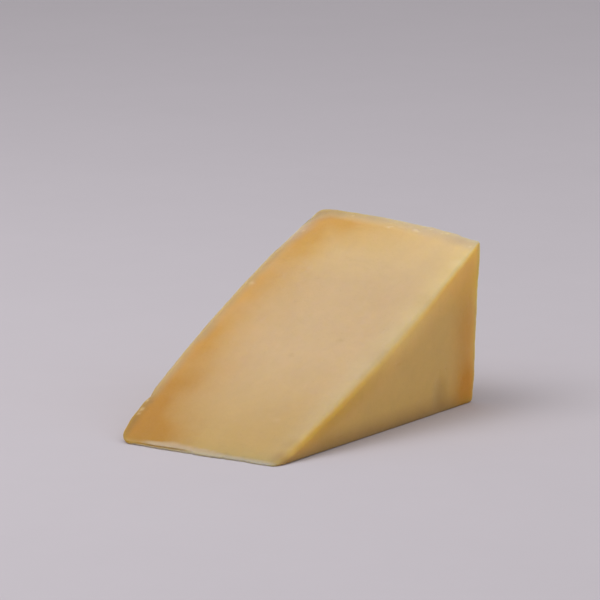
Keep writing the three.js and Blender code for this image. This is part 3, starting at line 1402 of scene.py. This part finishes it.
def noise_pair(graph: Graph, given: Node, finer: float, share: float) -> tuple[Socket, Socket]:
    """Wires a coarse noise and a finer one into a group.

    Args:
        graph: the group's graph.
        given: the node that gives the group's "Vector" and "Scale".
        finer: how many times finer the second noise is.
        share: its weight.

    Returns:
        The coarse noise, and the sum of both.
    """
    place, scale = given.outputs["Vector"], given.outputs["Scale"]
    coarse = graph.add("TexNoise", {"Vector": place, "Scale": scale, "Detail": 3.0})
    fine_scale = graph.times(scale, finer)
    fine = graph.add("TexNoise", {"Vector": place, "Scale": fine_scale, "Detail": 2.0})
    weighed = graph.times(fine.outputs["Fac"], share)
    return coarse.outputs["Fac"], graph.math("ADD", coarse.outputs["Fac"], weighed)


def crumbly_grain() -> bpy.types.NodeTree:
    """Group: crumbly grain, the height of the surface and the mask of its fine pores.

    Height is a coarse noise plus a part of one three times as fine, less the pores. A pore is the
    middle of a cell, where the coarse noise is high, and the amount is its strength.

    Returns:
        The group.
    """
    graph, given, result = open_group("Crumbly grain", ("Height", "Pores"))
    coarse, height = noise_pair(graph, given, finer=3.1, share=0.45)
    place, scale = given.outputs["Vector"], given.outputs["Scale"]
    cells = graph.add("TexVoronoi", {"Vector": place, "Scale": scale}, feature="F1")
    middle = graph.step(cells.outputs["Distance"], fade(0.08, 0.3))
    chosen = graph.step(coarse, SoftStep(0.52, 0.66))
    pores = graph.times(graph.times(middle, chosen), given.outputs["Amount"])
    graph.tree.links.new(graph.math("SUBTRACT", height, pores), result.inputs["Height"])
    graph.tree.links.new(pores, result.inputs["Pores"])
    return graph.tree


def soft_mottle() -> bpy.types.NodeTree:
    """Group: soft mottling, a value round 1 that lightens and darkens a colour.

    The value is 1 plus the amount times a broad noise and a finer one, centred on 0 together.

    Returns:
        The group.
    """
    graph, given, result = open_group("Soft mottle", ("Shade",))
    share = 0.6
    _, both = noise_pair(graph, given, finer=4.3, share=share)
    centred = graph.math("SUBTRACT", both, (1 + share) / 2)
    shade = graph.math("ADD", graph.times(centred, given.outputs["Amount"]), 1.0)
    graph.tree.links.new(shade, result.inputs["Shade"])
    return graph.tree


@dataclass(frozen=True)
class SharedEffects:
    """The node groups that more than one finish uses."""

    grain: bpy.types.NodeTree
    mottle: bpy.types.NodeTree


class Finish(ABC):
    """A finish that is built as one material."""

    title: str

    def build(self, effects: SharedEffects) -> bpy.types.Material:
        """Builds the material.

        Args:
            effects: the shared node groups.

        Returns:
            The material.
        """
        material = bpy.data.materials.new(self.title)
        material.use_nodes = True
        graph = Graph(material.node_tree)
        graph.add("OutputMaterial", {"Surface": self.shader(graph, effects)})
        return material

    @abstractmethod
    def shader(self, graph: Graph, effects: SharedEffects) -> Socket:
        """Wires the finish.

        Args:
            graph: the material's graph.
            effects: the shared node groups.

        Returns:
            The shader's output.
        """


@dataclass(frozen=True)
class CrumblyBody:
    """What every cheese finish ends with: mottling, grain with its pores darkened by painted shade,
    and light inside it.

    Sizes are in mm.
    """

    mottle_size: float
    mottle_amount: float
    grain_size: float
    pore_amount: float
    pore_shade: float
    dark: Colour
    roughness: SoftStep
    bump_height: float
    scatter: float
    scatter_reach: float
    scatter_spread: Colour
    refraction: float = 1.5
    bump_strength: float = 0.5

    def shader(
        self, graph: Graph, effects: SharedEffects, place: Socket, colour: Socket, worn: Any = 0.0
    ) -> Socket:
        """Wires the body.

        Args:
            graph: the material's graph.
            effects: the shared node groups.
            place: where on the object the grain is read.
            colour: the colour so far.
            worn: what lowers the grain.

        Returns:
            The shader's output.
        """
        mottle = graph.effect(effects.mottle, place, self.mottle_size, self.mottle_amount)
        grain = graph.effect(effects.grain, place, self.grain_size, self.pore_amount)
        height = grain.outputs["Height"]
        colour = graph.blend(1.0, colour, mottle.outputs["Shade"], "MULTIPLY")
        # Painted shade in the pores: they are blended towards the dark colour.
        pores = graph.times(grain.outputs["Pores"], self.pore_shade)
        bump = graph.add(
            "Bump",
            {
                "Height": graph.math("SUBTRACT", height, worn),
                "Strength": self.bump_strength,
                "Distance": self.bump_height * MM,
            },
        )
        shader = graph.add(
            "BsdfPrincipled",
            {
                "Base Color": graph.blend(pores, colour, self.dark),
                "Roughness": graph.step(height, self.roughness),
                "Normal": bump.outputs["Normal"],
                "IOR": self.refraction,
                "Subsurface Weight": self.scatter,
                "Subsurface Radius": self.scatter_spread,
                "Subsurface Scale": self.scatter_reach * MM,
            },
        )
        return shader.outputs[0]


@dataclass(frozen=True)
class AgedPaste(Finish):
    """Finish of the cut faces: waxy straw paste, golden under a dry pale outer layer.

    Each soft step runs over the height in mm.
    """

    title: str = "Aged paste"
    straw: Colour = srgb(209, 181, 137)
    # Paler towards the top of the slope: partly the paste's own tone, partly painted light.
    straw_top: Colour = srgb(224, 199, 142)
    straw_tip: Colour = srgb(194, 162, 98)
    straw_top_height: SoftStep = SoftStep(36, 58)
    straw_tip_height: SoftStep = fade(0.5, 26)
    # Crest colours: its dried edge, partly a painted highlight.
    crest_low: Colour = srgb(205, 190, 151)
    crest_high: Colour = srgb(224, 199, 139)
    crest_height: SoftStep = SoftStep(16, 50)
    # The cut end's deeper yellow is partly the fresh cut's own colour and partly painted shade.
    # Brighter towards the top: partly painted glow from the thin top corner.
    fresh: Colour = srgb(222, 184, 105)
    fresh_top: Colour = srgb(231, 186, 79)
    # Colour of the painted shade at the cut end's foot.
    fresh_foot_shade: Colour = srgb(190, 147, 84)
    fresh_height: SoftStep = SoftStep(26, 43)
    # Painted glow on the cut end under the ridge.
    glow_low: Colour = srgb(210, 171, 77)
    glow_high: Colour = srgb(230, 197, 117)
    glow_top: Colour = srgb(232, 189, 99)
    glow_height: SoftStep = SoftStep(10, 28)
    gold: Colour = srgb(206, 161, 78)
    gold_fresh: Colour = srgb(213, 151, 44)
    gold_tip: Colour = srgb(183, 132, 31)
    gold_height: SoftStep = SoftStep(6, 34)
    dry: Colour = srgb(187, 167, 148)
    dry_fresh: Colour = srgb(180, 138, 104)
    rim_foot: Colour = srgb(151, 117, 44)
    rim_low: Colour = srgb(177, 154, 112)
    rim_top: Colour = srgb(154, 132, 98)
    rim_low_height: SoftStep = SoftStep(7, 16)
    rim_top_height: SoftStep = SoftStep(44, 54)
    lip: Colour = srgb(204, 171, 132)
    cream: Colour = srgb(226, 206, 170)
    wear_strength: float = 0.5
    pale_strength: float = 0.8
    body: CrumblyBody = CrumblyBody(
        mottle_size=14.0,
        mottle_amount=0.12,
        grain_size=0.9,
        pore_amount=0.6,
        pore_shade=0.3,
        dark=srgb(140, 104, 54),
        roughness=SoftStep(0.4, 1.0, 0.44, 0.6),
        bump_height=0.12,
        scatter=1.0,
        scatter_reach=11.0,
        scatter_spread=(1.0, 0.85, 0.32),
        refraction=1.44,
    )

    def slope_colour(self, graph: Graph, height: Socket) -> Socket:
        """Wires the slope's colour: straw, browner at the tip, paler at the top, partly as painted
        light, and paler at the crest, partly its dried edge and partly a painted highlight.

        Args:
            graph: the material's graph.
            height: the height in mm.

        Returns:
            The colour.
        """
        # Paler at the top, partly painted light.
        colour = graph.blend(graph.step(height, self.straw_top_height), self.straw, self.straw_top)
        colour = graph.blend(graph.step(height, self.straw_tip_height), colour, self.straw_tip)
        # Pale crest, partly its dried edge and partly a painted highlight.
        risen = graph.step(height, self.crest_height)
        crest = graph.blend(risen, self.crest_low, self.crest_high)
        return graph.blend(graph.attribute("crest"), colour, crest)

    def fresh_colour(self, graph: Graph, height: Socket) -> Socket:
        """Wires the cut end's colour: yellower than the slope, partly the cut's own colour and
        partly painted shade, with a painted glow under the ridge and painted shade at its foot.

        Args:
            graph: the material's graph.
            height: the height in mm.

        Returns:
            The colour.
        """
        # Brighter towards the top, partly painted glow.
        upper = graph.step(height, self.fresh_height)
        colour = graph.blend(upper, self.fresh, self.fresh_top)
        # Painted glow under the ridge.
        glow = graph.blend(graph.step(height, self.glow_height), self.glow_low, self.glow_high)
        glow = graph.blend(upper, glow, self.glow_top)
        colour = graph.blend(graph.attribute("crest"), colour, glow)
        # Painted shade at the cut end's foot.
        return graph.blend(graph.attribute("painted_foot_shade"), colour, self.fresh_foot_shade)

    def outer_colour(self, graph: Graph, height: Socket, paste: Socket) -> Socket:
        """Lays the golden band and the dry rim over the paste.

        Args:
            graph: the material's graph.
            height: the height in mm.
            paste: the paste's colour.

        Returns:
            The colour.
        """
        fresh = graph.attribute("fresh")
        golden = graph.blend(graph.step(height, self.gold_height), self.gold_tip, self.gold)
        golden = graph.blend(fresh, golden, self.gold_fresh)
        colour = graph.blend(graph.attribute("gold"), paste, golden)
        rim = graph.blend(graph.step(height, self.rim_low_height), self.rim_foot, self.rim_low)
        rim = graph.blend(graph.step(height, self.rim_top_height), rim, self.rim_top)
        dry = graph.blend(fresh, self.dry, self.dry_fresh)
        rim = graph.blend(graph.attribute("rim"), dry, rim)
        return graph.blend(graph.attribute("dry"), colour, rim)

    def shader(self, graph: Graph, effects: SharedEffects) -> Socket:
        """Wires the paste, then its lip, its worn edges and its tints.

        Args:
            graph: the material's graph.
            effects: the shared node groups.

        Returns:
            The shader's output.
        """
        place = graph.position()
        height = graph.height(place)
        slope, fresh = self.slope_colour(graph, height), self.fresh_colour(graph, height)
        colour = graph.blend(graph.attribute("fresh"), slope, fresh)
        colour = self.outer_colour(graph, height, colour)
        # The lip's pale fringe, partly a painted highlight, and the painted light on its foot.
        colour = graph.blend(graph.attribute("lip"), colour, self.lip)
        wear = graph.times(graph.attribute("wear"), self.wear_strength)
        colour = graph.blend(wear, colour, self.cream)
        # Tint: paler or darker for the marks, paler for the painted light on the tip's foot, darker
        # for the painted shade in the crease, at the cut end's foot and by the tip.
        tint = graph.attribute("tint")
        paler = graph.times(tint, self.pale_strength, clamp=True)
        colour = graph.blend(paler, colour, self.cream)
        colour = graph.blend(graph.times(tint, -1.0, clamp=True), colour, self.body.dark)
        return self.body.shader(graph, effects, place, colour)


@dataclass(frozen=True)
class NaturalRind(Finish):
    """Finish of the wheel's skin: dry golden beige, with darker patches and dusty spots.

    Sizes are in mm, and each soft step runs over a noise.
    """

    title: str = "Natural rind"
    beige: Colour = srgb(214, 180, 116)
    amber: Colour = srgb(205, 161, 88)
    dust: Colour = srgb(219, 195, 146)
    patch_size: float = 30.0
    patches: SoftStep = SoftStep(0.34, 0.7)
    dust_size: float = 7.0
    dusting: SoftStep = SoftStep(0.46, 0.78, 0.0, 0.5)
    scuff_size: float = 2.2
    scuffs: SoftStep = SoftStep(0.55, 0.75)
    scuff_strength: float = 0.12
    wear_strength: float = 0.7
    body: CrumblyBody = CrumblyBody(
        mottle_size=9.0,
        mottle_amount=0.22,
        grain_size=1.1,
        pore_amount=0.7,
        pore_shade=0.4,
        dark=srgb(134, 96, 48),
        roughness=SoftStep(0.4, 1.0, 0.34, 0.54),
        bump_height=0.16,
        scatter=0.4,
        scatter_reach=1.2,
        scatter_spread=(1.0, 0.55, 0.22),
    )

    def shader(self, graph: Graph, effects: SharedEffects) -> Socket:
        """Wires the rind.

        Args:
            graph: the material's graph.
            effects: the shared node groups.

        Returns:
            The shader's output.
        """
        place = graph.position()
        broad = graph.noise(place, self.patch_size, detail=4.0, rough=0.5)
        colour = graph.blend(graph.step(broad, self.patches), self.beige, self.amber)
        dusty = graph.noise(place, self.dust_size, detail=6.0, rough=0.7)
        colour = graph.blend(graph.step(dusty, self.dusting), colour, self.dust)
        fine = graph.noise(place, self.scuff_size, detail=3.0, rough=0.6)
        scuffs = graph.step(fine, self.scuffs)
        colour = graph.blend(graph.times(scuffs, self.scuff_strength), colour, self.body.dark)
        wear = graph.times(graph.attribute("wear"), self.wear_strength)
        colour = graph.blend(wear, colour, self.dust)
        return self.body.shader(graph, effects, place, colour, worn=scuffs)


@dataclass(frozen=True)
class PaleFloor(Finish):
    """Finish of the studio floor: matt, pale and slightly cool, mottled over a size in mm."""

    title: str = "Pale floor"
    colour: Colour = srgb(196, 193, 200)
    roughness: float = 0.8
    mottle_size: float = 60.0
    mottle_amount: float = 0.03

    def shader(self, graph: Graph, effects: SharedEffects) -> Socket:
        """Wires the floor's finish.

        Args:
            graph: the material's graph.
            effects: the shared node groups.

        Returns:
            The shader's output.
        """
        place = graph.position()
        mottle = graph.effect(effects.mottle, place, self.mottle_size, self.mottle_amount)
        colour = graph.blend(1.0, self.colour, mottle.outputs["Shade"], "MULTIPLY")
        shader = graph.add("BsdfPrincipled", {"Base Color": colour, "Roughness": self.roughness})
        return shader.outputs[0]


# ---- The piece -------------------------------------------------------------------------------


@dataclass(frozen=True)
class CheeseChunk:
    """The chunk itself: one closed surface with its paste and its rind."""

    wedge: Wedge = Wedge()
    paste: AgedPaste = AgedPaste()
    rind: NaturalRind = NaturalRind()

    def mesh(self) -> bpy.types.Mesh:
        """Builds the mesh: its fields are point attributes and its skin has the second material.

        Returns:
            The mesh, in metres.
        """
        surface = self.wedge.surface()
        points, fields = Dressing(self.wedge).dress(surface)
        mesh = bpy.data.meshes.new("cheese_chunk")
        self.fill_mesh(mesh, points * MM, [surface.quads, surface.caps])
        for name, values in fields.items():
            attribute = mesh.attributes.new(name, "FLOAT", "POINT")
            attribute.data.foreach_set("value", values.astype(np.float32))
        skin = np.concatenate([surface.skin_quads, surface.skin_caps]).astype(np.int32)
        mesh.polygons.foreach_set("material_index", skin)
        soft = np.concatenate([~surface.base_quads, np.ones(len(surface.caps), dtype=bool)])
        mesh.polygons.foreach_set("use_smooth", soft)
        mesh.update()
        return mesh

    @staticmethod
    def fill_mesh(mesh: bpy.types.Mesh, points: Array, faces: list[Array]) -> None:
        """Puts points and faces into a mesh as whole arrays.

        Args:
            mesh: the empty mesh.
            points: the points, in metres.
            faces: arrays of faces, each of faces with the same number of corners.
        """
        sizes = np.concatenate([np.full(len(part), part.shape[1]) for part in faces])
        corners = np.concatenate([part.reshape(-1) for part in faces])
        mesh.vertices.add(len(points))
        mesh.vertices.foreach_set("co", points.astype(np.float32).reshape(-1))
        mesh.loops.add(len(corners))
        mesh.loops.foreach_set("vertex_index", corners.astype(np.int32))
        mesh.polygons.add(len(sizes))
        starts = np.concatenate([[0], np.cumsum(sizes)[:-1]])
        mesh.polygons.foreach_set("loop_start", starts.astype(np.int32))
        mesh.validate()

    def build(self, effects: SharedEffects) -> bpy.types.Object:
        """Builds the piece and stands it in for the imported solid.

        Args:
            effects: the shared node groups.

        Returns:
            The object.
        """
        mesh = self.mesh()
        mesh.materials.append(self.paste.build(effects))
        mesh.materials.append(self.rind.build(effects))
        chunk = bpy.data.objects.new("cheese_chunk", mesh)
        bpy.context.scene.collection.objects.link(chunk)
        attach(chunk, BODY)
        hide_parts(CAD_NODE)
        LOG.info("cheese_chunk: %d points, %d faces", len(mesh.vertices), len(mesh.polygons))
        return chunk


# ---- The studio ------------------------------------------------------------------------------


@dataclass(frozen=True)
class SoftBox:
    """A square soft light: its place, where it points, its side in metres, its power and colour."""

    name: str
    place: tuple[float, float, float]
    target: tuple[float, float, float]
    side: float
    power: float
    colour: Colour = (1.0, 1.0, 1.0)

    def build(self) -> bpy.types.Object:
        """Hangs the light.

        Returns:
            The lamp.
        """
        light = bpy.data.lights.new(self.name, "AREA")
        light.shape = "SQUARE"
        light.size = self.side
        light.energy = self.power
        light.color = self.colour
        lamp = bpy.data.objects.new(self.name, light)
        lamp.matrix_world = aimed(Vector(self.place), Vector(self.target))
        bpy.context.scene.collection.objects.link(lamp)
        return lamp


def aimed(place: Vector, target: Vector) -> Matrix:
    """World matrix of a lamp or camera at a place, looking at a target with its top upwards."""
    turn = (target - place).to_track_quat("-Z", "Y")
    return Matrix.LocRotScale(place, turn, None)


@dataclass(frozen=True)
class Studio:
    """Pale floor, soft light and the camera."""

    floor_side: float = 9.0
    floor_drop: float = 0.05 * MM
    floor: PaleFloor = PaleFloor()
    key: SoftBox = SoftBox(
        "Overhead soft box", (-0.35, 0.42, 0.88), (0, 0, 0.02), 0.8, 5.4, (1.0, 0.965, 0.97)
    )
    fill: SoftBox = SoftBox(
        "Side soft box", (0.35, -0.75, 0.8), (0, 0, 0.02), 0.7, 1.2, (1.0, 0.95, 0.9)
    )
    sky_colour: Colour = (1.0, 0.955, 0.96)
    sky_strength: tuple[float, float] = (0.33, 0.68)
    heading: float = math.radians(34.207)
    pitch: float = math.radians(11.103)
    distance: float = 1.3472
    target: tuple[float, float, float] = (2.60 * MM, 2.23 * MM, 37.50 * MM)
    sensor: float = 36.0
    view_angle: float = math.radians(7.930)

    def build_floor(self, effects: SharedEffects) -> bpy.types.Object:
        """Lays the floor as a single square, just under the chunk.

        Args:
            effects: the shared node groups.

        Returns:
            The floor.
        """
        half = self.floor_side / 2
        low = -self.floor_drop
        corners = [(-half, -half, low), (half, -half, low), (half, half, low), (-half, half, low)]
        mesh = bpy.data.meshes.new("studio_floor")
        mesh.from_pydata(corners, [], [(0, 1, 2, 3)])
        mesh.materials.append(self.floor.build(effects))
        floor = bpy.data.objects.new("studio_floor", mesh)
        bpy.context.scene.collection.objects.link(floor)
        return floor

    def build_sky(self) -> bpy.types.World:
        """Fills the room with soft light, stronger from above than from the sides.

        Returns:
            The world.
        """
        world = bpy.data.worlds.new("Studio air")
        world.use_nodes = True
        graph = Graph(world.node_tree)
        direction = graph.add("TexCoord").outputs["Generated"]
        upward = graph.add("SeparateXYZ", {0: direction}).outputs["Z"]
        low, high = self.sky_strength
        values = {"Value": upward, 1: 0.0, 2: 1.0, 3: low, 4: high}
        strength = graph.add("MapRange", values).outputs[0]
        air = graph.add("Background", {"Color": (*self.sky_colour, 1.0), "Strength": strength})
        graph.add("OutputWorld", {"Surface": air.outputs[0]})
        bpy.context.scene.world = world
        return world

    def build_camera(self) -> bpy.types.Object:
        """Sets up the camera, back from its target by its distance, along its heading and pitch.

        Returns:
            The camera.
        """
        level = math.cos(self.pitch)
        forward = Vector(
            (level * math.cos(self.heading), level * math.sin(self.heading), -math.sin(self.pitch))
        )
        target = Vector(self.target)
        lens = bpy.data.cameras.new("Studio camera")
        lens.sensor_width = self.sensor
        lens.lens = self.sensor / 2 / math.tan(self.view_angle / 2)
        lens.clip_end = 50.0
        camera = bpy.data.objects.new("Studio camera", lens)
        camera.matrix_world = aimed(target - forward * self.distance, target)
        bpy.context.scene.collection.objects.link(camera)
        bpy.context.scene.camera = camera
        return camera

    def build(self, effects: SharedEffects) -> None:
        """Sets up the whole studio.

        Args:
            effects: the shared node groups.
        """
        self.build_floor(effects)
        self.build_sky()
        for box in (self.key, self.fill):
            box.build()
        self.build_camera()
        bpy.context.scene.view_settings.view_transform = "Standard"


def main() -> None:
    """Builds the chunk and its studio."""
    logging.basicConfig(level=logging.INFO, format="%(name)s: %(message)s")
    effects = SharedEffects(grain=crumbly_grain(), mottle=soft_mottle())
    CheeseChunk().build(effects)
    Studio().build(effects)


if __name__ == "__main__":
    main()
